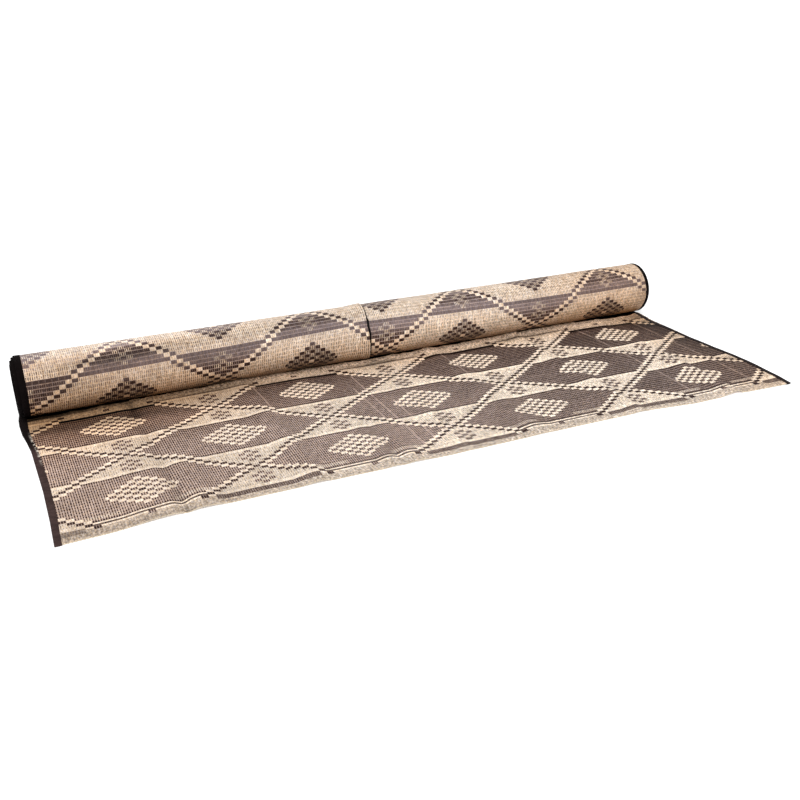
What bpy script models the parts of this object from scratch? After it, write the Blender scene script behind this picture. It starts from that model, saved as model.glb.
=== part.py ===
"""Camping mat woven from plastic straw, rolled up along its back with its loose end lying flat.

The mat is reversible: the loose end shows its face and the roll shows its back. Both cut edges are bound
with tape. X runs along the roll, +Y towards the back and +Z up. The origin is in the middle of the
footprint, on the ground. Lengths are in metres and angles in radians.
"""
import math

import bmesh
import bpy

GAP = 0.0003

# The woven sheet
SHEET_THICK = 0.0028
FRONT_HALF_WIDTH = 0.8975
BACK_WIDENING = 0.010
TAPE_WIDTH = 0.015
LOOSE_DEPTH = 0.640
FRONT_TILT = -0.003
FRONT_RECESS = 0.014
RECESS_END = 0.20

# The roll: its outer turn starts on the ground, goes up at the back and comes down over the loose end
ROLL_RADIUS = 0.0752
ROLL_HALF_LENGTH = 0.9018
ROLL_SHIFT = 0.007
ROLL_SKEW = 0.012
FLAT_DROP = 0.0010
BORE_RADIUS = 0.016
TURN_STEP = SHEET_THICK + GAP
RIM_THICK = 0.0065
INNER_TURNS_RADIUS = 0.0632
INNER_TURNS_SHIFT = 0.0095
OUTLINE_STEPS = 64
AXIS_HEIGHT = ROLL_RADIUS - FLAT_DROP

# Fold ridges that run from the front edge towards the roll, where the mat had been folded.
# Columns: x at the front edge, x by the roll, half width, height of the crest behind the front edge
RIDGES = (
    (-0.690, -0.683, 0.040, 0.0125),
    (-0.622, -0.655, 0.036, 0.0130),
    (-0.375, -0.425, 0.052, 0.0150),
    (-0.199, -0.190, 0.040, 0.0120),
    (-0.137, -0.150, 0.040, 0.0130),
    (-0.010, -0.012, 0.034, 0.0050),
    (0.164, 0.158, 0.045, 0.0125),
    (0.447, 0.448, 0.070, 0.0095),
    (0.722, 0.745, 0.032, 0.0090),
)
EDGE_SHARE = 0.45
EDGE_RISE = 0.050
RIDGE_FADE = 0.26
FLAT_BY_ROLL = 0.060
CALM_SIDE = 0.070

# The sheet's mesh: rows crowd towards the front edge, where the ridges are steepest
SHEET_COLUMNS = 108
ROW_SHARES = (0.0, 0.02, 0.045, 0.08, 0.13, 0.20, 0.29, 0.39, 0.50, 0.62, 0.74, 0.86, 0.93, 1.0)

# The pinched fold round the roll. Columns: distance from the fold, change of radius
TUCK_X = -0.022
TUCK = (
    (-0.040, 0.0),
    (-0.014, 0.0010),
    (-0.0045, 0.0024),
    (0.0, -0.0035),
    (0.0040, -0.0006),
    (0.030, 0.0),
)

# Slow unevenness along the roll. Columns: x, change of radius
SWELLS = (
    (-0.70, -0.0006),
    (-0.50, 0.0),
    (-0.28, -0.0008),
    (0.22, -0.0004),
    (0.45, 0.0),
    (0.68, -0.0008),
)

CREAM_STRAW = (0.72, 0.58, 0.40, 1.0)
BROWN_STRAW = (0.40, 0.31, 0.24, 1.0)
DARK_TAPE = (0.05, 0.04, 0.035, 1.0)


def clear_scene():
    for old in list(bpy.data.objects):
        bpy.data.objects.remove(old, do_unlink=True)


def finish(name):
    """Principled material settings of each kind of piece: colour and roughness."""
    looks = {
        "roll": (CREAM_STRAW, 0.55),
        "loose": (BROWN_STRAW, 0.55),
        "tape": (DARK_TAPE, 0.75),
    }
    colour, roughness = looks[name]
    material = bpy.data.materials.new("straw_" + name)
    material.use_nodes = True
    shader = material.node_tree.nodes["Principled BSDF"]
    shader.inputs["Base Color"].default_value = colour
    shader.inputs["Roughness"].default_value = roughness
    shader.inputs["Metallic"].default_value = 0.0
    return material


def add_object(name, mesh_builder, look):
    """Puts a closed bmesh into the scene as one object whose faces point out."""
    bmesh.ops.recalc_face_normals(mesh_builder, faces=mesh_builder.faces)
    mesh = bpy.data.meshes.new(name)
    mesh_builder.to_mesh(mesh)
    mesh_builder.free()
    mesh.materials.append(finish(look))
    obj = bpy.data.objects.new(name, mesh)
    bpy.context.collection.objects.link(obj)
    return obj


def shade_round(obj, crease_angle=math.radians(35)):
    obj.data.shade_smooth()
    obj.data.set_sharp_from_angle(angle=crease_angle)


def smoothstep(t):
    t = min(1.0, max(0.0, t))
    return t * t * (3.0 - 2.0 * t)


def bell(distance, half_width):
    """A round hump: 1 in the middle, nearly 0 at half_width."""
    return math.exp(-4.0 * (distance / half_width) ** 2)


def front_y(x):
    """The front edge, drawn back a little between the corners."""
    inward = (FRONT_HALF_WIDTH - abs(x)) / RECESS_END
    return FRONT_TILT * x + FRONT_RECESS * smoothstep(inward) - LOOSE_DEPTH


def contact_y(x):
    """The line where the loose end meets the outer turn of the roll."""
    return math.tan(ROLL_SKEW) * (x - ROLL_SHIFT) - GAP


def lift(x, y):
    """How far the underside of the sheet stands off the ground."""
    behind = y - front_y(x)
    ahead = contact_y(x) - y
    depth = contact_y(x) - front_y(x)
    strength = EDGE_SHARE + (1.0 - EDGE_SHARE) * smoothstep(behind / EDGE_RISE)
    strength *= math.exp(-max(0.0, behind - EDGE_RISE) / RIDGE_FADE)
    strength *= smoothstep((ahead - FLAT_BY_ROLL) / FLAT_BY_ROLL)
    strength *= smoothstep((FRONT_HALF_WIDTH - TAPE_WIDTH - abs(x)) / CALM_SIDE)
    share = behind / depth
    height = 0.0
    for front_x, back_x, half_width, crest in RIDGES:
        middle = front_x + (back_x - front_x) * share
        height += crest * bell(x - middle, half_width)
    return height * strength


def sheet_grid(x_low, x_high, columns, lifted):
    """A closed sheet between two x positions at the front edge, running back to the roll.

    It widens a little towards the roll, because the ridges draw its front together.
    """
    builder = bmesh.new()
    layers = []
    for thickness in (0.0, SHEET_THICK):
        layer = []
        for column in range(columns + 1):
            x = x_low + (x_high - x_low) * column / columns
            line = []
            for share in ROW_SHARES:
                wide_x = x * (1.0 + BACK_WIDENING * share)
                y = front_y(x) + (contact_y(wide_x) - front_y(x)) * share
                z = lift(x, y) if lifted else 0.0
                line.append(builder.verts.new((wide_x, y, z + thickness)))
            layer.append(line)
        layers.append(layer)
    under, over = layers
    rows = len(ROW_SHARES)
    for layer in layers:
        for left, right in zip(layer, layer[1:]):
            for row in range(rows - 1):
                builder.faces.new((left[row], right[row], right[row + 1], left[row + 1]))
    for row in (0, rows - 1):
        for column in range(columns):
            corners = (under[column][row], under[column + 1][row], over[column + 1][row], over[column][row])
            builder.faces.new(corners)
    for column in (0, columns):
        for row in range(rows - 1):
            corners = (under[column][row], under[column][row + 1], over[column][row + 1], over[column][row])
            builder.faces.new(corners)
    return builder


def spiral_outline(radius):
    """The outer turn, from the ground up over the back and down onto the loose end.

    Points are (y, z) about the line where it meets the ground. It is flat on both sides of its step.
    """
    points = []
    for step in range(OUTLINE_STEPS + 1):
        share = step / OUTLINE_STEPS
        turn = 2.0 * math.pi * share
        reach = radius - TURN_STEP * share
        rest = 0.0 if share < 0.5 else TURN_STEP
        points.append((reach * math.sin(turn), max(AXIS_HEIGHT - reach * math.cos(turn), rest)))
    return points


def round_outline(radius):
    """A plain circle about the same axis, with as many points as the spiral."""
    turns = [2.0 * math.pi * step / (OUTLINE_STEPS + 1) for step in range(OUTLINE_STEPS + 1)]
    return [(radius * math.sin(turn), AXIS_HEIGHT - radius * math.cos(turn)) for turn in turns]


def ring_body(stations):
    """A closed ring-shaped body. Each station is (x, radius, outline), in order round its section."""
    builder = bmesh.new()
    rings = []
    for x, radius, outline in stations:
        rings.append([builder.verts.new((x, y, z)) for y, z in outline(radius)])
    for ring, following in zip(rings, rings[1:] + rings[:1]):
        for here in range(len(ring)):
            onward = (here + 1) % len(ring)
            builder.faces.new((ring[here], ring[onward], following[onward], following[here]))
    return builder


def place_on_axis(obj):
    """Sets a piece of the roll on its slightly skewed axis."""
    obj.location = (ROLL_SHIFT, 0.0, 0.0)
    obj.rotation_euler = (0.0, 0.0, ROLL_SKEW)


def roll_surface_stations():
    """Stations of the visible outer turn between the two bound rims, left to right."""
    edge = ROLL_HALF_LENGTH - TAPE_WIDTH - GAP
    inner = [(TUCK_X + offset, ROLL_RADIUS + change) for offset, change in TUCK]
    inner += [(x, ROLL_RADIUS + change) for x, change in SWELLS]
    ends = [(-edge, ROLL_RADIUS), (edge, ROLL_RADIUS)]
    return [(x, radius, spiral_outline) for x, radius in sorted(inner + ends)]


def make_roll():
    """The wound part. Its inner turns have slipped a little to the left."""
    end = ROLL_HALF_LENGTH
    seat = ROLL_RADIUS - RIM_THICK - GAP
    edge = end - TAPE_WIDTH - GAP
    left_inner = -end - INNER_TURNS_SHIFT
    right_inner = end - INNER_TURNS_SHIFT
    stations = [
        (left_inner, BORE_RADIUS, round_outline),
        (left_inner, INNER_TURNS_RADIUS, round_outline),
        (-end, INNER_TURNS_RADIUS, round_outline),
        (-end, seat, round_outline),
        (-edge, seat, round_outline),
    ]
    stations += roll_surface_stations()
    stations += [
        (edge, seat, round_outline),
        (end, seat, round_outline),
        (end, INNER_TURNS_RADIUS, round_outline),
        (right_inner, INNER_TURNS_RADIUS, round_outline),
        (right_inner, BORE_RADIUS, round_outline),
    ]
    roll = add_object("wound_roll", ring_body(stations), "roll")
    place_on_axis(roll)
    shade_round(roll)


def make_rim_tape(name, side):
    """The bound edge of the outer turn: a ring at one end of the roll."""
    outer = side * ROLL_HALF_LENGTH
    inner = side * (ROLL_HALF_LENGTH - TAPE_WIDTH)
    stations = [
        (inner, ROLL_RADIUS - RIM_THICK, round_outline),
        (inner, ROLL_RADIUS, spiral_outline),
        (outer, ROLL_RADIUS, spiral_outline),
        (outer, ROLL_RADIUS - RIM_THICK, round_outline),
    ]
    ring = add_object(name, ring_body(stations), "tape")
    place_on_axis(ring)
    shade_round(ring)


def make_loose_end():
    half = FRONT_HALF_WIDTH - TAPE_WIDTH - GAP
    sheet = add_object("loose_end", sheet_grid(-half, half, SHEET_COLUMNS, lifted=True), "loose")
    shade_round(sheet)


def make_edge_tape(name, side):
    """The binding of the loose end, a strip beside the woven sheet."""
    inner = side * (FRONT_HALF_WIDTH - TAPE_WIDTH)
    outer = side * FRONT_HALF_WIDTH
    low, high = sorted((inner, outer))
    add_object(name, sheet_grid(low, high, 2, lifted=False), "tape")


def centre_footprint():
    """Moves the whole mat so that the middle of its footprint is at the origin."""
    bpy.context.view_layer.update()
    corners = []
    for obj in bpy.data.objects:
        corners += [obj.matrix_world @ vertex.co for vertex in obj.data.vertices]
    middle_x = (min(corner.x for corner in corners) + max(corner.x for corner in corners)) / 2
    middle_y = (min(corner.y for corner in corners) + max(corner.y for corner in corners)) / 2
    for obj in bpy.data.objects:
        obj.location.x -= middle_x
        obj.location.y -= middle_y


def main():
    clear_scene()
    make_roll()
    make_loose_end()
    for side_name, side in (("left", -1), ("right", 1)):
        make_edge_tape("edge_tape_" + side_name, side)
        make_rim_tape("rim_tape_" + side_name, side)
    centre_footprint()


main()
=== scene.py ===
import math

import bpy
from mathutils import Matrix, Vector, noise


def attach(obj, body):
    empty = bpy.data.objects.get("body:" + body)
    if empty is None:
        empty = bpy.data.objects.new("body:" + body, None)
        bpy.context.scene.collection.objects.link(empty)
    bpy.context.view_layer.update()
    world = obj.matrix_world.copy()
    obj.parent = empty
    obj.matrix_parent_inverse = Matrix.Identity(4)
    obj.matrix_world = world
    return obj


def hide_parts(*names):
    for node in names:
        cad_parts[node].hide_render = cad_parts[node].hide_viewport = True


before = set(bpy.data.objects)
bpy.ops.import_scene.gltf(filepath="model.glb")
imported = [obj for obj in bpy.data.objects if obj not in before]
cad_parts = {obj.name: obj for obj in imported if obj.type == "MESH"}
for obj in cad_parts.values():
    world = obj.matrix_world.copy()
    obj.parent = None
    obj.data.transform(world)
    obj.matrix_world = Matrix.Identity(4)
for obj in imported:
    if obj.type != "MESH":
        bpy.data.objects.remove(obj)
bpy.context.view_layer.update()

# The pattern's grid: p and q count half repeats across and along the mat, c and r count straws' columns
# and rows, 16 to a half repeat. r falls towards the roll
HALF_REPEAT = 0.2384
CELLS = 16
HALF_CELLS = CELLS // 2
COLUMN = HALF_REPEAT / CELLS
ROW = 0.715 * COLUMN
# The mat's middle, as p, and y of row 0
P_MIDDLE = 1.994
Y_ORIGIN = 0.12386

SHEET_THICK = 0.0018
TAPE_THICK = 0.0032
# Front and back edge of each panel of the mat
FRONT_ROW = 43.5
BACK_ROW = -11.5
# First and last column of points of the sheets, and how far apart their points are in columns and rows
PANEL_COLUMNS = (-28.0, 92.5)
TURN_COLUMNS = (-32.5, 90.0)
POINT_STEP = 0.5

# The roll's section. Angles are in degrees from its foot, up the back, over the top and down the front. The
# pitch is how much each turn is tighter than the one round it
AXIS_Y = 0.27873
AXIS_SKEW = 0.0125
AXIS_Z = 0.0768
FOOT_RADIUS = 0.0760
FRONT_RADIUS = 0.0732
TURN_PITCH = 0.0075


def srgb(red, green, blue):
    """A display colour from 0 to 255 as a linear one."""
    linear = []
    for value in (red, green, blue):
        share = value / 255.0
        linear.append(share / 12.92 if share <= 0.04045 else ((share + 0.055) / 1.055) ** 2.4)
    return (*linear, 1.0)


def rise(at, start, end):
    """0 up to the start and 1 from the end on, smooth between them."""
    share = min(1.0, max(0.0, (at - start) / (end - start)))
    return share * share * (3.0 - 2.0 * share)


def along(table, at):
    """Reads a short table of (position, value) pairs, straight between its rows."""
    if at <= table[0][0]:
        return table[0][1]
    for (low, here), (high, there) in zip(table, table[1:]):
        if at <= high:
            return here + (there - here) * (at - low) / (high - low)
    return table[-1][1]


def place_x(p):
    return (p - P_MIDDLE) * HALF_REPEAT


def unevenness(x, y, height, size, seed):
    """Soft bumps of this height and size."""
    return height * noise.noise(Vector((x / size, y / size, seed)))


# The weave, charted by rule from a crossing of the pattern's diagonals
(FIELD_LIGHT, BLOCK_LIGHT, DASHES, FIELD_DARK, BLOCK_DARK, EDGE_DARK, MARGIN, SELVEDGE, LINE_DARK, LINE_THIN,
 LINE_LIGHT, FINE_DASHES, MARGIN_DARK) = range(13)
# Rows of the lines that close the pattern at the front and at the back
FRONT_LINE = 40
BACK_LINE = -8
# How far the selvedge and the dark line beside it reach in from the back edge, in rows
SELVEDGE_END = 0.6
MARGIN_DARK_END = 1.6


def from_crossing(column, band):
    """Columns to the nearest crossing of the diagonals in this band."""
    across = round(column / CELLS)
    if (across + band) % 2:
        across += 1 if column > across * CELLS else -1
    return abs(column - across * CELLS)


def weave_kind(c, r):
    """Which weave lies at a point of the mat's face. Lines along the selvedges are half a row thick."""
    column, row = round(c), round(r)
    if row < BACK_LINE - 1:
        from_edge = r - BACK_ROW
        if from_edge < SELVEDGE_END:
            return SELVEDGE
        return MARGIN_DARK if from_edge < MARGIN_DARK_END else MARGIN
    if row > FRONT_LINE + 2:
        return MARGIN
    band = round(row / CELLS)
    j = row - band * CELLS
    if row >= FRONT_LINE:
        return front_border_kind(from_crossing(column, 2), row - FRONT_LINE, r > row)
    if row <= BACK_LINE:
        return back_border_kind(from_crossing(column, 0), BACK_LINE - row, r < row)
    if abs(j) == HALF_CELLS:
        return BLOCK_DARK if from_crossing(column, band) == HALF_CELLS else BLOCK_LIGHT
    i = from_crossing(column, band)
    kind = crossing_kind(i, abs(j)) if i < 11 else diamond_kind(CELLS - i, abs(j))
    if j == 0 and i >= 11 and from_crossing(c, band) < 11.0:
        return FIELD_DARK
    if kind == FIELD_DARK and abs(j) == 7 and ((r - row) * j > 0 or row < 0):
        return EDGE_DARK
    if kind == FIELD_DARK and row == 38 and 8 <= i <= 12:
        return FINE_DASHES
    return kind


def crossing_kind(i, j):
    if i == j:
        return BLOCK_DARK
    if i == j + 1:
        return BLOCK_LIGHT
    if i > j + 1:
        return FIELD_DARK
    if (i == 0 and j in (3, 5, 7)) or (i == 1 and j in (4, 6)):
        return DASHES
    return FIELD_LIGHT


def diamond_kind(i, j):
    """The small diamond in the middle of each dark hexagon."""
    if i + j > 5:
        return crossing_kind(CELLS - i, j)
    if i == 0 and j == 0:
        return BLOCK_DARK
    return BLOCK_LIGHT if (i + j) % 2 else DASHES


def front_border_kind(i, line, outer_half):
    """The two lines that close the pattern along the front edge. i counts columns from a crossing."""
    if line == 0:
        if i <= HALF_CELLS:
            return BLOCK_DARK if i == HALF_CELLS else BLOCK_LIGHT
        return LINE_THIN if outer_half else LINE_LIGHT
    if line == 2:
        return LINE_DARK if i < HALF_CELLS and not outer_half else MARGIN
    if i < HALF_CELLS:
        return LINE_DARK
    if i == HALF_CELLS + 1:
        return BLOCK_DARK
    if i == CELLS:
        return DASHES
    return MARGIN if outer_half else LINE_LIGHT


def back_border_kind(i, line, outer_half):
    """The plainer end of the pattern along the loose back edge."""
    if line == 0:
        return BLOCK_DARK if i == HALF_CELLS else (MARGIN if i > HALF_CELLS else BLOCK_LIGHT)
    if i < HALF_CELLS:
        return MARGIN if outer_half else LINE_DARK
    if i == CELLS:
        return DASHES
    return BLOCK_DARK if i == HALF_CELLS + 1 else MARGIN


# How each weave looks. Columns: half width of the dark straw, gap between rows, brightness, unevenness
FACE_LOOKS = {
    FIELD_LIGHT: (0.10, 0.45, 0.56, 0.0),
    BLOCK_LIGHT: (0.00, 0.30, 0.70, 0.0),
    DASHES: (0.29, 0.00, 0.54, 0.0),
    FIELD_DARK: (0.39, 0.60, 0.52, 0.0),
    BLOCK_DARK: (0.46, 0.35, 0.44, 0.0),
    EDGE_DARK: (0.50, 0.00, 0.42, 0.0),
    MARGIN: (0.27, 0.20, 0.56, 0.9),
    SELVEDGE: (-0.10, 0.00, 0.84, 0.3),
    LINE_DARK: (0.40, 0.05, 0.50, 0.2),
    LINE_THIN: (0.46, 0.00, 0.42, 0.2),
    LINE_LIGHT: (-0.20, 0.00, 0.90, 0.0),
    FINE_DASHES: (0.20, 0.30, 0.60, 0.0),
    MARGIN_DARK: (0.38, 0.10, 0.30, 0.8),
}
BACK_LOOKS = {
    FIELD_LIGHT: (0.44, 0.75, 0.52, 0.0),
    BLOCK_LIGHT: (0.51, 0.50, 0.42, 0.0),
    DASHES: (0.30, 0.15, 0.52, 0.0),
    FIELD_DARK: (0.20, 0.80, 0.61, 0.15),
    BLOCK_DARK: (0.00, 0.45, 0.54, 0.1),
    EDGE_DARK: (0.20, 0.80, 0.61, 0.15),
    MARGIN: (0.27, 0.20, 0.50, 0.9),
    SELVEDGE: (0.00, 0.00, 0.66, 0.4),
    LINE_DARK: (0.00, 0.45, 0.52, 0.1),
    LINE_THIN: (0.30, 0.00, 0.46, 0.5),
    LINE_LIGHT: (0.45, 0.45, 0.50, 0.0),
    FINE_DASHES: (0.22, 0.40, 0.55, 0.0),
    MARGIN_DARK: (0.38, 0.10, 0.30, 0.8),
}
# How far the dark straws close up over the panel. Columns: p, half width at rows 0, 16 and 32
CLOSED_STRAWS = (
    (-1.5, 0.42, 0.28, 0.25),
    (0.5, 0.41, 0.30, 0.28),
    (2.5, 0.43, 0.35, 0.33),
    (4.5, 0.50, 0.43, 0.41),
)
# Painted shade and light, with some wear. The panel lies in the roll's shade for its first rows, deepest at
# the
# left, painted as shade. Columns: c, brightness
ROLL_SHADE = ((-28.0, -0.60), (-8.0, -0.43), (12.0, -0.32), (32.0, -0.08), (70.0, 0.00), (84.0, -0.20),
              (92.0, -0.42))
# Painted light where its loose edge turns up to the light along the middle, and painted shade at the left
# end.
# Columns: c, brightness
EDGE_LIGHT = ((-28.0, -0.28), (-20.0, -0.08), (-12.0, 0.36), (4.0, 0.95), (20.0, 1.10), (44.0, 0.95),
              (60.0, 0.60), (92.0, 0.80))
# Soft patches of painted light and shade. Columns: c and r of the middle, how far it reaches across and
# along, brightness
PANEL_PATCHES = (
    (-28.5, 8.5, 6.0, 10.0, 0.95),
    (-13.0, -3.0, 4.0, 2.0, -0.22),
    (30.0, -3.0, 4.0, 2.0, 0.20),
    (48.0, -3.0, 6.0, 2.0, -0.16),
    (-4.0, 40.0, 4.0, 1.5, -0.30),
    (27.0, 35.0, 4.0, 6.0, 0.14),
    (77.0, 38.0, 4.0, 4.0, 0.18),
    (-7.0, 2.0, 4.0, 2.5, 0.25),
    (2.0, -9.0, 8.0, 1.4, -0.32),
    (16.0, -8.8, 7.0, 1.4, 0.40),
    (32.0, -8.8, 6.5, 1.4, -0.72),
    (48.0, -8.8, 8.0, 1.5, 0.25),
    (61.0, -8.4, 6.0, 1.1, -0.90),
    (69.0, -8.4, 3.5, 1.1, -0.50),
    (80.0, -9.0, 7.0, 1.6, 0.30),
    (74.0, 0.0, 8.0, 3.0, -0.16),
    (93.0, 8.0, 6.0, 26.0, -0.48),
    (-4.0, -3.0, 14.0, 2.0, 0.10),
    (60.0, 36.5, 5.0, 2.5, 0.22),
    (28.0, 31.0, 5.0, 14.0, 0.08),
    (-16.0, 44.0, 8.0, 3.0, -0.30),
    (-27.0, 41.4, 4.0, 1.8, -0.45),
    (8.0, 43.5, 30.0, 1.6, -0.14),
)
# Painted shade: the roll darkens towards its foot. Columns: c, share of the darkening; then r, brightness
FOOT_SHADE = ((-28.0, 1.0), (8.0, 1.0), (20.0, 0.85), (28.0, 0.58), (50.0, 0.56), (66.0, 0.84), (88.0, 0.64))
FOOT_ROWS = ((-4.3, -0.97), (-1.8, -0.68), (0.0, -0.10), (2.0, 0.0))
# Soft patches of painted light and shade on the roll, with the same columns as the panel's
ROLL_PATCHES = (
    (46.0, 3.6, 20.0, 3.2, 0.42),
    (10.0, 3.4, 9.0, 2.0, 0.22),
    (30.0, 1.0, 8.0, 1.5, 0.20),
    (80.0, 3.5, 8.0, 2.0, 0.16),
    (-22.0, 1.0, 7.0, 2.5, -0.32),
    (-3.0, 0.0, 4.0, 1.5, -0.28),
    (-2.0, 6.6, 7.0, 1.4, -0.34),
    (-22.0, 6.0, 10.0, 2.0, -0.28),
    (-17.0, 10.4, 12.0, 1.7, -0.58),
    (14.0, 10.3, 12.0, 1.8, -0.20),
    (-16.0, 12.8, 5.0, 1.2, 0.24),
    (-10.0, 16.0, 34.0, 2.5, 0.38),
    (50.0, 13.5, 20.0, 3.0, 0.18),
    (-30.0, 7.0, 4.0, 2.5, -0.12),
    (90.0, 5.0, 4.5, 5.0, -0.20),
)


def patches(table, c, r):
    """Painted light and shade that the soft patches of a table add at a point."""
    return sum(bright * math.exp(-(((c - at_c) / across) ** 2) - ((r - at_r) / down) ** 2)
               for at_c, at_r, across, down, bright in table)


def panel_tone(c, r):
    """Painted shade near the roll, painted light on the loose edge, and painted patches of the front panel.
    """
    shade = along(ROLL_SHADE, c) * rise(r, 0.5, -3.5)
    return shade + along(EDGE_LIGHT, c) * rise(r, -9.6, -10.6) + patches(PANEL_PATCHES, c, r)


def roll_tone(c, r):
    """Brightness of the roll's painted shade at its foot, and its patches of painted light and shade."""
    return along(FOOT_SHADE, c) * along(FOOT_ROWS, r) + patches(ROLL_PATCHES, c, r)


def closed_straw(c, r):
    """Half width of the dark straws of the face at a point."""
    rows = [(CELLS * k, along([(row[0], row[k + 1]) for row in CLOSED_STRAWS], c / CELLS)) for k in range(3)]
    return along(rows, r)


# How much wider than in the dark field the dark straws of the face are, and how far the dashes follow them
WIDER_STRAWS = {FIELD_DARK: 0.0, EDGE_DARK: 0.09, BLOCK_DARK: 0.14}
DASHES_FOLLOW = 0.6
DASHES_CLOSED = 0.28
# Near the roll the edges of the dark fields are almost black: half width and brightness
BLACK_EDGE = (0.62, -0.05)
# The line along the front edge is worn up to this column: half width and unevenness
WORN_LINE_END = -8.0
WORN_LINE = (0.30, 0.6)
# The back edge's selvedge lies in shade up to this column: brightness
SHADED_SELVEDGE_END = -12.0
SHADED_SELVEDGE = -0.42
# Painted light and sheen: the mat's right part has its light straws painted lighter, and its dark ones
# darker, by this much. Light weaves are those with dark straws less than this half width
RIGHT_PAINTED_LIGHT = 0.17
LIGHT_COVER = 0.2
# The face gets no brighter than this
BRIGHTEST = 0.74
# Painted shade in the creases: how much a crease darkens, to a mm of its depth, and how far it reaches in
# columns
CREASE_SHADE = 0.11
CREASE_REACH = 0.5
# Painted shade: how a sheet is painted dark down in the tuck and under the roll
TUCK_SHADE_LOOK = (0.6, 0.0, -0.50)
UNDER_ROLL_SHADE_LOOK = (0.5, 0.0, -0.46, 0.0)
UNDER_START = 34.0
# Painted sheen: on the roll's top the dark straws of the back are painted narrower by this half width
TOP_SHEEN_NARROWER = 0.08


def face_look(c, r):
    """The look of the face: dark straws lie closer near the roll and to the right, which has painted light
    and sheen.
    """
    kind = weave_kind(c, r)
    cover, gap, bright, uneven = FACE_LOOKS[kind]
    if kind in WIDER_STRAWS:
        cover = closed_straw(c, r) + WIDER_STRAWS[kind]
    elif kind == DASHES:
        cover += DASHES_FOLLOW * (closed_straw(c, r) - DASHES_CLOSED)
    elif kind == LINE_DARK and c < WORN_LINE_END:
        cover, uneven = WORN_LINE
    if kind == EDGE_DARK and r < 0.0:
        cover, bright = BLACK_EDGE
    if kind == SELVEDGE:
        return (cover, gap, bright if c > SHADED_SELVEDGE_END else SHADED_SELVEDGE, uneven)
    # Painted light and sheen: more contrast towards the right
    right_painted_light = RIGHT_PAINTED_LIGHT * rise(c, 5.0, 55.0) * rise(r, -9.5, -6.5) * rise(r, 43.0, 41.0)
    bright += right_painted_light if cover < LIGHT_COVER else -right_painted_light
    # The panel's painted shade and light, and painted shade in its creases
    bright += panel_tone(c, r) - crease_depth(c, r, CREASE_REACH) * CREASE_SHADE
    return (cover, gap, min(bright, BRIGHTEST), uneven)


def under_look(c, r):
    """The next panel's first rows are painted dark, as shade under the roll."""
    return UNDER_ROLL_SHADE_LOOK if r > UNDER_START else face_look(c, r)


def back_look(c, r):
    """The look of the back: dark straws painted narrower as sheen on the roll's top, and painted shade in
    the tuck.
    """
    kind = weave_kind(c, r)
    cover, gap, bright, uneven = BACK_LOOKS[kind]
    bright += roll_tone(c, r)
    # Painted sheen on the roll's top
    if kind == FIELD_LIGHT:
        cover -= TOP_SHEEN_NARROWER * rise(r, 13.0, 14.5)
    # Painted shade down in the tuck
    if TUCK_START < c < TUCK_END:
        cover, gap, bright = TUCK_SHADE_LOOK
    return (cover, gap, bright, uneven)


# The brightness is written this much higher, because a colour attribute holds nothing below zero
WRITTEN_HIGHER = 1.0


def written(look):
    """A look as the colour attributes hold it."""
    cover, gap, bright, uneven = look
    return (cover, gap, bright + WRITTEN_HIGHER, uneven)


def select_only(obj):
    bpy.ops.object.select_all(action="DESELECT")
    bpy.context.view_layer.objects.active = obj
    obj.select_set(True)


def add_grid(name, columns, rows):
    """A plain grid, whose points are then laid in their places, with the column and row of each point."""
    bpy.ops.object.select_all(action="DESELECT")
    bpy.ops.mesh.primitive_grid_add(x_subdivisions=columns, y_subdivisions=rows, size=1.0)
    obj = bpy.context.active_object
    obj.name = name
    obj.data.name = name
    places = [(round((point.co.x + 0.5) * columns), round((point.co.y + 0.5) * rows))
              for point in obj.data.vertices]
    return obj, places


def steps(first, last, step):
    count = round((last - first) / step)
    return [first + step * index for index in range(count + 1)]


def lay_sheet(name, columns, place, front_look):
    """A panel of the mat whose points are laid by place(c, r), with its weave written on its faces."""
    c_lines, r_lines = steps(*columns, POINT_STEP), steps(FRONT_ROW, BACK_ROW, -POINT_STEP)
    obj, places = add_grid(name, len(c_lines) - 1, len(r_lines) - 1)
    mesh = obj.data
    spots = [(c_lines[column], r_lines[row]) for column, row in places]
    for vertex, (c, r) in zip(mesh.vertices, spots):
        vertex.co = place(c, r)
    layer = mesh.uv_layers.active
    layer.name = "weave"
    for loop in mesh.loops:
        c, r = spots[loop.vertex_index]
        layer.data[loop.index].uv = (c + 0.5, r + 0.5)
    face_layer = mesh.attributes.new("face_look", "FLOAT_COLOR", "FACE")
    back_layer = mesh.attributes.new("back_look", "FLOAT_COLOR", "FACE")
    for polygon in mesh.polygons:
        c = sum(spots[index][0] for index in polygon.vertices) / len(polygon.vertices)
        r = sum(spots[index][1] for index in polygon.vertices) / len(polygon.vertices)
        face_layer.data[polygon.index].color = written(front_look(c, r))
        back_layer.data[polygon.index].color = written(back_look(c, r))
    mesh.shade_smooth()
    thicken(obj)
    return obj


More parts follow.
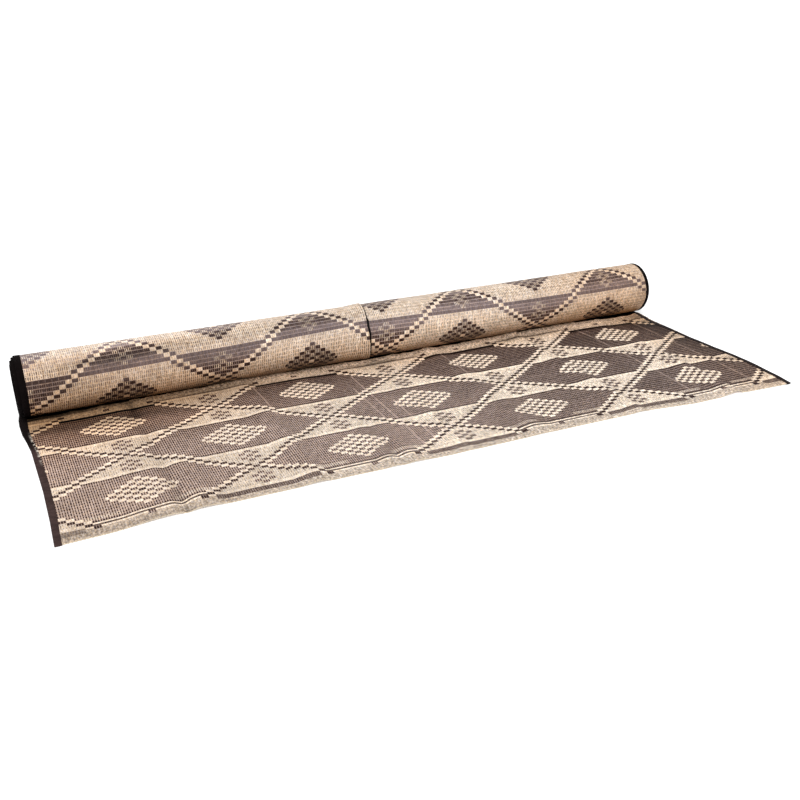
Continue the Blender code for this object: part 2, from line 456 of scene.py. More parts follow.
# Folds of the front panel. Columns: c of the crest, how far it reaches to its left and right in columns,
# then its height in mm at rows -8, 8, 24, 40 and at the front edge
FOLDS = (
    (-13.4, 6.4, 1.4, 1.0, 3.4, 5.5, 6.8, 3.8),
    (-9.5, 2.5, 3.4, 1.0, 4.7, 5.2, 10.4, 4.6),
    (6.9, 3.4, 1.9, 3.4, 6.2, 8.8, 8.8, 4.4),
    (18.5, 2.0, 1.5, 0.0, 0.5, 2.1, 5.2, 2.8),
    (21.8, 1.8, 3.2, 0.0, 0.5, 1.6, 6.6, 3.4),
    (31.0, 2.6, 0.7, 0.0, 2.1, 2.6, 3.1, 0.8),
    (43.0, 2.4, 3.2, 5.2, 4.2, 3.9, 6.2, 1.8),
    (62.0, 3.0, 0.9, 4.7, 5.2, 4.7, 5.6, 3.2),
    (81.5, 3.8, 1.1, 1.6, 1.8, 5.7, 7.4, 6.6),
    (94.0, 8.0, 3.0, 0.0, 0.5, 4.5, 4.0, 1.0),
)
FOLD_ROWS = (-8.0, 8.0, 24.0, 40.0, 43.5)
# Creases pressed into the panel. Columns: c at the front edge, c at the roll, half width, depth in mm
LONG_CREASE = (-11.8, -12.1, 0.45, 3.4)
CREASES = (
    LONG_CREASE,
    (20.1, 20.0, 0.35, 2.2),
    (31.6, 31.6, 0.30, 1.2),
    (62.8, 62.6, 0.30, 1.2),
    (82.5, 82.2, 0.35, 2.4),
)
# How far the creases are pressed in, and the long one. Columns: r, share of their depth
CREASE_ROWS = ((-12.0, 0.2), (10.0, 0.2), (24.0, 0.6), (36.0, 1.0))
LONG_CREASE_ROWS = ((-12.0, 1.2), (-6.0, 1.0), (0.0, 0.4), (16.0, 0.5), (36.0, 1.0))
# How far the rows lie forward of their even spacing. Columns: guide row, then c and rows forward along it
ROW_DRIFT = (
    (-11.5, ((-24.0, 1.2), (-9.0, 0.5), (4.0, 0.2), (16.0, 0.0), (22.0, -0.3), (29.0, 0.7), (38.0, 0.3),
             (44.0, 0.2), (60.0, -0.4), (76.0, -0.6), (83.0, 0.3), (90.0, 0.2), (92.5, -1.0))),
    (-8.0, ((-24.0, 1.2), (-12.0, 1.0), (0.0, 0.2), (16.0, 0.15), (28.0, 1.0), (44.0, 0.75), (55.0, 0.1),
            (76.0, -0.2), (85.0, 0.75), (91.0, 0.9))),
    (8.0, ((-24.0, 0.4), (-12.0, 0.4), (0.0, -0.1), (16.0, 0.0), (30.0, 0.3), (46.0, 0.2), (60.0, -0.1),
           (82.0, 0.0), (91.0, 1.1))),
    (24.0, ((-24.0, 0.3), (-12.0, 0.1), (-2.0, -0.3), (12.0, -0.2), (24.0, 0.3), (36.0, 0.4), (46.0, 0.3),
            (62.0, 0.0), (68.0, 0.0), (76.0, 0.5), (84.0, 1.0))),
    (40.0, ((-24.0, 0.9), (-17.0, 0.3), (-12.0, -0.1), (-2.0, -0.4), (12.0, -0.4), (26.0, 0.1), (50.0, -0.1),
            (66.0, 0.1), (72.0, 0.8), (84.0, 1.0), (91.0, 1.5))),
    (43.5, ((-28.0, 1.7), (-22.0, 1.3), (-16.0, 0.4), (-10.0, 0.0), (12.0, 0.0), (27.0, 0.3), (50.0, 0.0),
            (64.0, 0.1), (72.0, 1.5), (78.0, 1.4), (81.0, 1.1), (84.0, 1.6), (92.0, 2.2))),
)
# How far the columns lie to the right of even spacing. Columns: c, columns at rows 0 to 26, then at row 40
COLUMN_DRIFT = (
    (-22.0, 0.08, 0.05), (-12.0, 0.0, 0.08), (0.0, 0.36, 0.15), (12.0, 0.34, 0.02), (24.0, -0.1, -0.35),
    (36.0, 0.42, 0.12), (48.0, 0.18, -0.15), (60.0, 0.6, 0.3), (72.0, 0.9, 0.3), (84.0, 0.4, 0.0),
    (92.0, 0.1, 0.0),
)
# The loose back edge of the panel stands up in places. Columns: c, height in mm
BACK_LIFT = ((-28.0, 1.0), (0.0, 4.5), (9.0, 7.5), (14.0, 6.0), (20.0, 4.0), (28.0, 4.5), (36.0, 4.5),
             (45.0, 3.0), (56.0, 4.5), (72.0, 7.0), (84.0, 2.5), (92.0, 1.0))
# The panel's first rows lie on the next panel, from this far in front of the roll's axis. Then how long the
# panel takes to rise to it, and the gap between the two
PANEL_OVERLAP = 0.081
OVERLAP_SLOPE = 0.012
OVERLAP_GAP = 0.0002
MM = 0.001
# Mean height of the panel's slow waves in mm, then the waves. Columns: height in mm, size in metres, seed
WAVE_REST = 0.8
WAVES = ((0.9, 0.11, 3.0), (0.4, 0.03, 8.0))
# Waves of the loose back edge, and how ragged it is in rows: height, size in metres, seed
EDGE_WAVES = (2.2, 0.035, 4.0)
RAGGED = (0.5, 0.017, 6.0)
# A crease falls off this much faster than its half width
CREASE_FALL = 1.5


def axis_y(x):
    """The roll is a little skewed."""
    return AXIS_Y + AXIS_SKEW * x


def crease_depth(c, r, widened):
    """How deep the creases are pressed in at a point, in mm."""
    depth = 0.0
    back_share = (FRONT_ROW - r) / (FRONT_ROW - BACK_ROW)
    for crease in CREASES:
        at_front, at_roll, half_width, full_depth = crease
        middle = at_front + (at_roll - at_front) * back_share
        strength = along(LONG_CREASE_ROWS if crease is LONG_CREASE else CREASE_ROWS, r)
        depth += strength * full_depth * math.exp(-CREASE_FALL * abs(c - middle) / (half_width + widened))
    return depth


def fold_height(c, r):
    """How high the folds stand over the flat panel, in mm."""
    height = 0.0
    for crest, left, right, *heights in FOLDS:
        away = c - crest
        share = abs(away) / (left if away < 0 else right)
        if share < 1.0:
            height += along(tuple(zip(FOLD_ROWS, heights)), r) * (1.0 - share * share) * (1.0 - 0.3 * share)
    return max(0.0, height - crease_depth(c, r, 0.0))


def panel_height(c, r, x, y):
    """Height of the front panel's middle over the ground."""
    height = fold_height(c, r) + WAVE_REST
    height += sum(unevenness(x, y, *wave) for wave in WAVES)
    lifted = rise(r, BACK_LINE - 1.0, BACK_LINE - 3.0)
    height += lifted * (along(BACK_LIFT, c) + unevenness(x, 0.0, *EDGE_WAVES))
    lap = axis_y(x) - PANEL_OVERLAP
    overlap = rise(y, lap - OVERLAP_SLOPE, lap)
    return max(0.0, height) * MM + SHEET_THICK / 2 + overlap * (SHEET_THICK + OVERLAP_GAP)


def front_place(c, r):
    """Where a point of the front panel lies."""
    middle_drift = along([(entry[0], entry[1]) for entry in COLUMN_DRIFT], c)
    front_drift = along([(entry[0], entry[2]) for entry in COLUMN_DRIFT], c)
    drift = along(((BACK_ROW, 0.0), (0.0, middle_drift), (26.0, middle_drift), (40.0, front_drift)), r)
    x = place_x((c + drift) / CELLS)
    forward = along([(row, along(table, c)) for row, table in ROW_DRIFT], r)
    ragged = rise(r, BACK_LINE - 2.0, BACK_LINE - 3.5) * unevenness(x, 0.0, *RAGGED)
    y = Y_ORIGIN - ROW * (r + forward + ragged)
    return (x, y, panel_height(c, r, x, y))


# Ends of the roll, as p, and how far the sheet stays back from them inside its binding
ROLL_LEFT_P = -1.765
ROLL_RIGHT_P = 5.80
ROLL_SETBACK = 0.012
# Places of the pattern along the roll. Columns: c of the pattern, p where it lies. Past them it is spaced
# evenly, a little closer at the left end
LEFT_SPACING = 0.97
ROLL_LEFT = ((-24.0, -1.24), (-8.0, -0.27), (8.0, 0.75), (24.0, 1.71))
ROLL_RIGHT = ((40.0, 2.62), (56.0, 3.62), (72.0, 4.67), (88.0, 5.67))
# The pinched fold round the roll: the columns that are tucked in, and their place
TUCK_START = 27.0
TUCK_END = 28.5
TUCK_MIDDLE = 27.75
TUCK_P = 1.90
# Where the tuck runs round the roll. Columns: angle, shift along p
TUCK_LINE = ((150.0, 0.03), (200.0, 0.0), (240.0, -0.033), (290.0, -0.005), (340.0, 0.05))
# The tuck's section. Columns: c of the pattern, shift along p, change of radius
TUCK_SECTION = (
    (24.5, 0.0, 0.0006),
    (25.0, 0.0, 0.0012),
    (25.5, 0.0, 0.0018),
    (26.0, 0.0, 0.0024),
    (26.5, 0.0, 0.0034),
    (27.0, 0.004, 0.0036),
    (27.5, 0.005, -0.0026),
    (28.0, 0.050, -0.0026),
    (28.5, 0.053, -0.0004),
    (29.0, 0.032, 0.0),
    (29.5, 0.012, 0.0),
)
# How wide the tuck gapes. Columns: angle, share of its full width
TUCK_WIDTH = ((180.0, 0.45), (220.0, 0.50), (230.0, 0.80), (258.0, 0.75), (275.0, 0.50), (325.0, 0.40))
# Rows round the roll. Columns: angle, row
ROLL_ROWS = ((0.0, 36.0), (155.0, 17.8), (208.0, 11.8), (245.0, 7.45), (296.0, 0.6), (336.0, -4.3),
             (396.0, -11.2))
# How far the rows are turned round the roll. Columns: c, degrees at each of the angles
TWIST_ANGLES = (200.0, 250.0, 305.0)
TWIST = (
    (-28.0, 7.0, 6.0, 12.0), (-18.0, 4.5, 4.0, 9.0), (-8.0, 1.5, 1.0, 3.0), (2.0, 0.0, -1.0, 1.5),
    (12.0, -2.5, -5.0, -1.5), (24.0, -4.0, -9.5, -2.5), (37.0, -3.5, -5.5, -2.0), (49.0, -1.0, -2.0, -2.0),
    (61.0, 1.0, 1.5, 3.5), (76.0, 3.0, 3.0, 3.5), (90.0, 3.0, 2.5, 1.5),
)
# How the columns lean along the roll. Columns: angle, shift along p
LEAN = ((175.0, -0.010), (230.0, -0.006), (265.0, -0.017), (300.0, -0.022), (330.0, -0.028))
# Radius of the outer turn. Columns: angle, radius
TURN_RADIUS = ((0.0, FOOT_RADIUS), (150.0, FRONT_RADIUS), (360.0, FRONT_RADIUS))
# Slow swells of the outer turn: height, size, seed, and how many degrees round it count as a metre
SWELLS = (0.0007, 0.13, 5.0)
SWELL_TURN = 400.0
# How far the tuck pulls the columns beside it along
TUCK_REACH = 3.0


def roll_p(c):
    """Where a column of the pattern lies along the roll, left and right of the tuck."""
    if c <= TUCK_START:
        table = ROLL_LEFT + ((TUCK_START, TUCK_P),)
    elif c >= TUCK_END:
        table = ((TUCK_END, TUCK_P),) + ROLL_RIGHT
    else:
        return TUCK_P
    if c < table[0][0]:
        return table[0][1] + (c - table[0][0]) * LEFT_SPACING / CELLS
    if c > table[-1][0]:
        return table[-1][1] + (c - table[-1][0]) / CELLS
    return along(table, c)


def row_angle(r):
    """How far round the roll a row lies."""
    turned = [(-row, angle) for angle, row in ROLL_ROWS]
    return along(turned, -r)


def turn_radius(angle):
    """Outer radius of the wound sheet, which tightens turn by turn."""
    if angle <= 360.0:
        return along(TURN_RADIUS, angle)
    return FRONT_RADIUS - TURN_PITCH * (angle - 360.0) / 360.0


def round_roll(x, angle, radius):
    """A point at this angle round the roll's axis."""
    turn = math.radians(angle)
    return (x, axis_y(x) + radius * math.sin(turn), AXIS_Z - radius * math.cos(turn))


def outer_place(c, r):
    """Where a point of the outer turn lies. Its first rows are under the front panel."""
    p = roll_p(c)
    foot_row, edge_angle = ROLL_ROWS[0][1], ROLL_ROWS[-1][0]
    if r > foot_row:
        x = place_x(p)
        return (x, axis_y(x) - (r - foot_row) * ROW, AXIS_Z - FOOT_RADIUS + SHEET_THICK / 2)
    angle = row_angle(r)
    twists = [(at, along([(entry[0], entry[k + 1]) for entry in TWIST], c))
              for k, at in enumerate(TWIST_ANGLES)]
    angle += along(twists, angle) * rise(angle, 0.0, 90.0) * rise(angle, edge_angle, edge_angle - 60.0)
    shift, change = 0.0, 0.0
    for at, section_shift, section_change in TUCK_SECTION:
        if abs(c - at) < POINT_STEP / 2:
            shift, change = section_shift, section_change
    if c > TUCK_MIDDLE:
        shift *= along(TUCK_WIDTH, angle)
    near_tuck = math.exp(-(((c - TUCK_MIDDLE) / TUCK_REACH) ** 2))
    p += shift + near_tuck * along(TUCK_LINE, angle) + (1.0 - near_tuck) * along(LEAN, angle)
    p = min(ROLL_RIGHT_P - ROLL_SETBACK, max(ROLL_LEFT_P + ROLL_SETBACK, p))
    x = place_x(p)
    fade = rise(angle, 0.0, 60.0) * rise(angle, 385.0, 345.0)
    radius = turn_radius(angle) - SHEET_THICK / 2 + change * fade
    radius += fade * unevenness(x, angle / SWELL_TURN, *SWELLS)
    return round_roll(x, angle, radius)


def thicken(obj):
    """Gives a sheet its thickness, and the materials of its face, back and rim."""
    for material in (face, back, rim):
        obj.data.materials.append(material)
    solid = obj.modifiers.new("thickness", "SOLIDIFY")
    solid.thickness = SHEET_THICK
    solid.offset = 0.0
    solid.use_rim = True
    solid.material_offset = 1
    solid.material_offset_rim = 2
    select_only(obj)
    bpy.ops.object.modifier_apply(modifier="thickness")


class Nodes:
    """Short words for building a material."""

    def __init__(self, name):
        self.material = bpy.data.materials.new(name)
        self.material.use_nodes = True
        self.tree = self.material.node_tree
        self.shader = self.tree.nodes["Principled BSDF"]

    def put(self, socket, value):
        if isinstance(value, bpy.types.NodeSocket):
            self.tree.links.new(value, socket)
        else:
            socket.default_value = value

    def math(self, operation, *values):
        node = self.tree.nodes.new("ShaderNodeMath")
        node.operation = operation
        for socket, value in zip(node.inputs, values):
            self.put(socket, value)
        return node.outputs[0]

    def times(self, first, second):
        return self.math("MULTIPLY", first, second)

    def plus(self, first, second):
        return self.math("ADD", first, second)

    def minus(self, first, second):
        return self.math("SUBTRACT", first, second)

    def ramp(self, value, low, high, to_low=0.0, to_high=1.0):
        node = self.tree.nodes.new("ShaderNodeMapRange")
        node.interpolation_type = "SMOOTHSTEP"
        for name, setting in (("Value", value), ("From Min", low), ("From Max", high),
                              ("To Min", to_low), ("To Max", to_high)):
            self.put(node.inputs[name], setting)
        return node.outputs["Result"]

    def mix(self, share, first, second, past_end=False):
        node = self.tree.nodes.new("ShaderNodeMix")
        node.data_type = "RGBA"
        node.clamp_factor = not past_end
        self.put(node.inputs["Factor"], share)
        self.put(node.inputs[6], first)
        self.put(node.inputs[7], second)
        return node.outputs[2]

    def scale_colour(self, colour, amount):
        node = self.tree.nodes.new("ShaderNodeVectorMath")
        node.operation = "SCALE"
        self.put(node.inputs[0], colour[:3] if isinstance(colour, tuple) else colour)
        self.put(node.inputs["Scale"], amount)
        return node.outputs[0]

    def tint(self, colour, by):
        node = self.tree.nodes.new("ShaderNodeVectorMath")
        node.operation = "MULTIPLY"
        self.put(node.inputs[0], colour)
        self.put(node.inputs[1], by)
        return node.outputs[0]

    def noise(self, vector, size, detail=2.0, roughness=0.5):
        node = self.tree.nodes.new("ShaderNodeTexNoise")
        self.put(node.inputs["Vector"], vector)
        node.inputs["Scale"].default_value = size
        node.inputs["Detail"].default_value = detail
        node.inputs["Roughness"].default_value = roughness
        return node.outputs["Fac"]

    def join(self, x, y, z=0.0):
        node = self.tree.nodes.new("ShaderNodeCombineXYZ")
        for socket, value in zip(node.inputs, (x, y, z)):
            self.put(socket, value)
        return node.outputs[0]

    def uv(self, name):
        node = self.tree.nodes.new("ShaderNodeUVMap")
        node.uv_map = name
        parts = self.tree.nodes.new("ShaderNodeSeparateXYZ")
        self.tree.links.new(node.outputs[0], parts.inputs[0])
        return parts.outputs[0], parts.outputs[1]

    def attribute(self, name):
        node = self.tree.nodes.new("ShaderNodeAttribute")
        node.attribute_name = name
        parts = self.tree.nodes.new("ShaderNodeSeparateColor")
        self.tree.links.new(node.outputs["Color"], parts.inputs[0])
        return (*parts.outputs, node.outputs["Alpha"])

    def stretched(self, u, v, across, down, *settings):
        """Noise stretched over the weave."""
        return self.noise(self.join(self.times(u, across), self.times(v, down)), *settings)

    def bump(self, height, distance):
        node = self.tree.nodes.new("ShaderNodeBump")
        node.inputs["Distance"].default_value = distance
        self.put(node.inputs["Height"], height)
        self.tree.links.new(node.outputs["Normal"], self.shader.inputs["Normal"])

    def finish(self, colour, roughness, specular=0.5):
        self.put(self.shader.inputs["Base Color"], colour)
        self.put(self.shader.inputs["Roughness"], roughness)
        self.shader.inputs["Specular IOR Level"].default_value = specular
        return self.material


# Light straws run through the dark fields, this light. Columns: number of the straw, first row, last row
STRAY_LIGHT = 0.38
STRAY_STRAWS = (
    (25.0, -6.0, 12.0),
    (72.0, 4.0, 24.0),
    (77.0, -4.0, 38.0),
    (84.0, 14.0, 38.0),
    (133.0, -8.0, 8.0),
    (225.0, -8.0, 38.0),
    (264.0, -8.0, 38.0),
)
STRAWS_TO_COLUMN = 3.0
# How light a straw is at brightness 0, how much a brightness of 1 adds, and the least it can be
LEVEL_AT_ZERO = 0.48
LEVEL_GAIN = 0.9
LEAST_LEVEL = 0.03


def straw_material(name, look, colours, in_shade_from, brown_and_shade, sheen, strays, column_line, grain, roughness,
                   specular):
    """Flat plastic straws, three dark and three cream to a column, with the cross threads between rows."""
    cream, worn, cream_in_shade, dark = colours
    nodes = Nodes(name)
    u, v = nodes.uv("weave")
    cover, gap, bright, uneven = nodes.attribute(look)
    straw = nodes.times(u, STRAWS_TO_COLUMN)
    middle = nodes.minus(nodes.math("FRACT", straw), 0.5)
    off_middle = nodes.math("ABSOLUTE", middle)
    which = nodes.math("FLOOR", straw)

    # Dark straws, as wide as the look says, with unsteady edges
    wander = nodes.times(nodes.minus(nodes.stretched(which, v, 1.0, 0.45, 3.7, 3.0, 0.8), 0.5), 0.78)
    over = nodes.minus(off_middle, nodes.plus(cover, wander))
    is_dark = nodes.ramp(over, -0.06, 0.06, 1.0, 0.0)
    for stray, low, high in strays:
        here = nodes.math("COMPARE", which, stray, 0.5)
        inside = nodes.math("COMPARE", v, (low + high) / 2, (high - low) / 2)
        is_dark = nodes.times(is_dark, nodes.minus(1.0, nodes.times(nodes.times(here, inside), STRAY_LIGHT)))

    # Cream threads show between the rows and columns
    off_row = nodes.math("ABSOLUTE", nodes.minus(nodes.math("FRACT", v), 0.5))
    between_rows = nodes.ramp(off_row, 0.34, 0.47)
    off_column = nodes.math("ABSOLUTE", nodes.minus(nodes.math("FRACT", u), 0.5))
    between_columns = nodes.ramp(off_column, 0.40, 0.49, 0.0, column_line)
    opened = nodes.math("MAXIMUM", nodes.times(between_rows, gap), between_columns)
    is_dark = nodes.times(is_dark, nodes.minus(1.0, opened))

    # Where the weave is uneven, blotches take the place of straws
    blotch = nodes.ramp(nodes.stretched(u, v, 2.6, 1.7, 1.0, 2.0, 0.7), 0.42, 0.60)
    blotch = nodes.times(blotch, nodes.times(cover, 2.0))
    is_dark = nodes.plus(nodes.times(is_dark, nodes.minus(1.0, uneven)), nodes.times(blotch, uneven))

    # Colours: wear runs along the straws, and light ones between dark ones are painted browner, as shade
    # from the dark straws
    streak = nodes.stretched(which, v, 1.0, 0.06, 5.3, 2.0)
    light_straw = nodes.mix(nodes.ramp(streak, 0.3, 0.7), cream, worn)
    # Painted shade on light straws between dark ones
    in_dark = nodes.ramp(cover, in_shade_from, in_shade_from + 0.12, 0.0, 0.85)
    light_straw = nodes.mix(nodes.times(in_dark, nodes.minus(1.0, uneven)), light_straw, cream_in_shade)
    dark_straw = nodes.mix(nodes.ramp(streak, 0.35, 0.75), dark, nodes.scale_colour(dark, 1.5))
    # Painted sheen turns the dark straws grey
    if sheen:
        dark_straw = nodes.mix(sheen(nodes, u, v), dark_straw, SHEEN_GREY)
    colour = nodes.mix(is_dark, light_straw, dark_straw)
    # Browner tint: painted shade near the roll and low on the roll, and browner sides and ends
    colour = nodes.mix(brown_and_shade(nodes, u, v), colour, nodes.tint(colour, BROWN_AND_SHADE_TINT), past_end=True)
    hue = nodes.noise(nodes.join(nodes.times(straw, 1.1), nodes.times(v, 1.3), 7.0), 1.3, 2.0, 0.8)
    colour = nodes.tint(colour, nodes.mix(nodes.ramp(hue, 0.3, 0.7), HUE_COOL, HUE_WARM))

    # How light all of it is: the look, wide wear, flecks, streaks, and painted shade at each straw's rounded
    # edges
    level = nodes.math("MULTIPLY_ADD", bright, LEVEL_GAIN, LEVEL_AT_ZERO - LEVEL_GAIN * WRITTEN_HIGHER)
    level = nodes.math("MAXIMUM", level, LEAST_LEVEL)
    level = nodes.times(level, nodes.ramp(wide_wear(nodes, u, v), 0.25, 0.75, 0.80, 0.95))
    fleck = nodes.ramp(nodes.stretched(straw, v, 0.8, 0.45, 1.9, 3.0, 0.9), 0.3, 0.7, -0.5, 0.5)
    fleck = nodes.times(fleck, nodes.ramp(u, -20.0, 70.0, *grain))
    level = nodes.times(level, nodes.plus(fleck, 1.0))
    level = nodes.times(level, nodes.ramp(streak, 0.25, 0.75, 1.08, 0.92))
    # Painted shade: each straw is darker towards its edges
    level = nodes.times(level, nodes.ramp(off_middle, 0.30, 0.5, 1.06, 0.66))
    colour = nodes.scale_colour(colour, level)

    # Slight relief of round straws with threads pulled in between the rows
    round_straw = nodes.minus(0.25, nodes.times(middle, middle))
    nodes.bump(nodes.plus(round_straw, nodes.times(between_rows, -0.12)), 0.0014)
    return nodes.finish(colour, roughness, specular)


def wide_wear(nodes, u, v):
    """Wide soft patches, which have worn more or less."""
    return nodes.stretched(u, v, 0.06, 0.043, 4.0, 3.0)


def panel_brown_and_shade(nodes, u, v):
    """The panel is painted browner near the roll as shade, and browner at its sides."""
    back_part = nodes.times(nodes.ramp(v, -7.0, 20.0, 1.0, 0.0), nodes.ramp(u, -20.0, 30.0, 0.9, 0.3))
    side_part = nodes.plus(nodes.ramp(u, -28.0, 20.0, 0.30, 0.0), nodes.ramp(u, 76.0, 92.0, 0.0, 0.5))
    foot_part = nodes.ramp(v, -8.5, -2.0, 0.45, 0.0)
    return nodes.plus(back_part, nodes.plus(side_part, foot_part))


def roll_brown_and_shade(nodes, u, v):
    """The roll's back is painted browner low down as warm shade, and browner at its ends, in patches."""
    patch = nodes.ramp(wide_wear(nodes, u, v), 0.3, 0.7, 0.7, 1.1)
    low_part = nodes.times(nodes.ramp(v, -4.0, 10.0, 1.0, 0.0), patch)
    from_middle = nodes.math("ABSOLUTE", nodes.minus(u, 48.0))
    low_part = nodes.times(low_part, nodes.ramp(from_middle, 4.0, 26.0, 0.8, 1.0))
    left_part = nodes.times(nodes.ramp(u, -24.0, 20.0, 0.45, 0.0), nodes.ramp(v, 12.5, 15.0, 1.2, -0.2))
    right_part = nodes.ramp(u, 56.0, 82.0, 0.0, 0.6)
    foot_part = nodes.ramp(v, -2.5, 1.0, 0.4, 0.0)
    return nodes.plus(nodes.plus(low_part, foot_part), nodes.plus(left_part, right_part))


def roll_sheen(nodes, u, v):
    """Painted sheen: the dark straws are painted grey where the roll's front turns up to the light, and
    again over its top.
    """
    front_part = nodes.times(nodes.ramp(v, 4.0, 7.0), nodes.ramp(v, 9.5, 11.5, 1.0, 0.15))
    top_part = nodes.ramp(nodes.plus(v, nodes.ramp(u, -24.0, -16.0, 2.5, 0.0)), 13.0, 14.2)
    top_part = nodes.times(top_part, nodes.ramp(u, -18.0, 30.0, 0.9, 0.4))
    top_part = nodes.times(top_part, nodes.ramp(u, 64.0, 74.0, 1.0, 0.0))
    spread = nodes.ramp(u, -28.0, -18.0, 0.15, 0.72)
    return nodes.math("MAXIMUM", nodes.times(front_part, spread), top_part)


def rim_material(name, colour):
    """The sheet's bare edge, where cut threads show."""
    nodes = Nodes(name)
    u, v = nodes.uv("weave")
    grain = nodes.noise(nodes.join(u, v), 4.0, 3.0)
    tone = nodes.mix(nodes.ramp(grain, 0.35, 0.65), colour, nodes.scale_colour(colour, 0.6))
    nodes.bump(grain, 0.0005)
    return nodes.finish(tone, 0.7, 0.3)


# Ribs of the binding tape: how far apart along it, in metres, and how many across it
RIB_SPACING = 0.0012
RIBS_ACROSS = 14.0


def tape_material(name, colour, frayed_and_shaded):
    """Woven binding tape with fine ribs. Frayed tape shows light threads of the sheet at its inner edge,
    and is painted darker near the roll as shade.
    """
    nodes = Nodes(name)
    u, v = nodes.uv("tape")
    rib = nodes.math("SINE", nodes.times(v, math.tau / RIB_SPACING))
    cross = nodes.math("SINE", nodes.times(u, math.tau * RIBS_ACROSS))
    weave = nodes.times(rib, cross)
    patch = nodes.stretched(u, v, 1.0, 30.0, 3.0, 3.0)
    tone = nodes.scale_colour(colour, nodes.ramp(patch, 0.3, 0.7, 0.8, 1.25))
    if frayed_and_shaded:
        # Painted shade: the tape darkens towards the roll
        tone = nodes.scale_colour(tone, nodes.ramp(v, 0.16, 0.24, 0.12, 1.0))
        thread = nodes.stretched(u, v, 4.0, 160.0, 1.0, 2.0)
        inner = nodes.ramp(u, 0.11, 0.19, 1.0, 0.0)
        spread = nodes.ramp(nodes.math("ABSOLUTE", nodes.minus(v, 0.20)), 0.02, 0.10, 1.0, 0.0)
        shown = nodes.times(nodes.ramp(thread, 0.46, 0.56), nodes.times(inner, spread))
        tone = nodes.mix(shown, tone, THREAD)
    nodes.bump(nodes.plus(nodes.times(weave, 0.5), patch), 0.0004)
    return nodes.finish(tone, 0.75, 0.04)


CREAM_FACE = srgb(242, 228, 211)
CREAM_WORN = srgb(230, 214, 194)
DARK_FACE = srgb(52, 35, 33)
# Painted shade: cream of the light straws between dark ones
CREAM_IN_SHADE_FACE = srgb(214, 190, 178)
CREAM_BACK = srgb(243, 227, 208)
CREAM_BACK_WORN = srgb(226, 203, 178)
DARK_BACK = srgb(46, 29, 24)
# Painted shade: cream of the back's light straws between dark ones
CREAM_IN_SHADE_BACK = srgb(176, 157, 153)
# Painted sheen: grey of the dark straws
SHEEN_GREY = srgb(136, 121, 120)
# Browner tint, for painted shade and for the browner ends
BROWN_AND_SHADE_TINT = (1.00, 0.83, 0.68)
HUE_COOL = (0.92, 0.97, 1.10, 1.0)
HUE_WARM = (1.09, 1.00, 0.86, 1.0)
CUT_EDGE = srgb(222, 204, 176)
THREAD = srgb(226, 214, 200)
TAPE = srgb(64, 50, 48)
TAPE_RIGHT = srgb(40, 33, 32)
TAPE_DARK = srgb(12, 7, 7)
WHITE = (1.0, 1.0, 1.0, 1.0)
FLOOR = srgb(251, 251, 251)

face = straw_material(
    "straw_face", "face_look", colours=(CREAM_FACE, CREAM_WORN, CREAM_IN_SHADE_FACE, DARK_FACE),
    in_shade_from=0.16, brown_and_shade=panel_brown_and_shade, sheen=None, strays=STRAY_STRAWS, column_line=0.0,
    grain=(0.50, 1.2), roughness=0.6, specular=0.06,
)
back = straw_material(
    "straw_back", "back_look", colours=(CREAM_BACK, CREAM_BACK_WORN, CREAM_IN_SHADE_BACK, DARK_BACK),
    in_shade_from=0.31, brown_and_shade=roll_brown_and_shade, sheen=roll_sheen, strays=(), column_line=0.35,
    grain=(0.75, 0.75), roughness=0.45, specular=0.08,
)
rim = rim_material("straw_rim", CUT_EDGE)
left_tape = tape_material("left_binding_tape", TAPE, True)
right_tape = tape_material("right_binding_tape", TAPE_RIGHT, False)
roll_tape = tape_material("roll_binding_tape", TAPE_DARK, False)


# The inner turns have slipped to the left. Columns: angle, shift in metres
SLIP = ((396.0, 0.0), (480.0, -0.0050), (560.0, -0.0078), (900.0, -0.0088), (1500.0, -0.0098),
        (3200.0, -0.0085))
# First and last angle of the inner turns, degrees between their points, how far they stay back from the
# roll's ends, as p, and how many columns of points, columns of weave and rows of weave they have
INNER_START = 392.0
INNER_END = 3040.0
INNER_STEP = 8.0
INNER_SETBACK = 0.02
INNER_COLUMNS = 24
INNER_WEAVE = (121.0, 190.0)


def inner_slip(angle):
    """How far the inner turns have slipped at an angle, a little unevenly."""
    return along(SLIP, angle) + 0.0012 * math.sin(math.radians(angle * 0.83))


def middle_radius(angle):
    """Radius of the middle of the sheet. The inner turns are a little uneven."""
    wobble = 0.0008 * math.sin(math.radians(angle * 1.37)) * rise(angle, 420.0, 620.0)
    return turn_radius(angle) - SHEET_THICK / 2 + wobble


def inner_place(p, angle):
    """Where a point of the inner turns lies."""
    return round_roll(place_x(p) + inner_slip(angle), angle, middle_radius(angle))


def make_inner_turns():
    low, high = ROLL_LEFT_P + INNER_SETBACK, ROLL_RIGHT_P - INNER_SETBACK
    p_lines = [low + (high - low) * k / INNER_COLUMNS for k in range(INNER_COLUMNS + 1)]
    angles = steps(INNER_START, INNER_END, INNER_STEP)
    obj, places = add_grid("inner_turns", INNER_COLUMNS, len(angles) - 1)
    mesh = obj.data
    for vertex, (column, row) in zip(mesh.vertices, places):
        vertex.co = inner_place(p_lines[column], angles[row])
    layer = mesh.uv_layers.active
    layer.name = "weave"
    for entry in layer.data:
        entry.uv = (entry.uv[0] * INNER_WEAVE[0], entry.uv[1] * INNER_WEAVE[1])
    for look, values in (("face_look", FACE_LOOKS[MARGIN]), ("back_look", BACK_LOOKS[MARGIN])):
        attribute = mesh.attributes.new(look, "FLOAT_COLOR", "FACE")
        for item in attribute.data:
            item.color = written(values)
    mesh.shade_smooth()
    thicken(obj)
    return obj


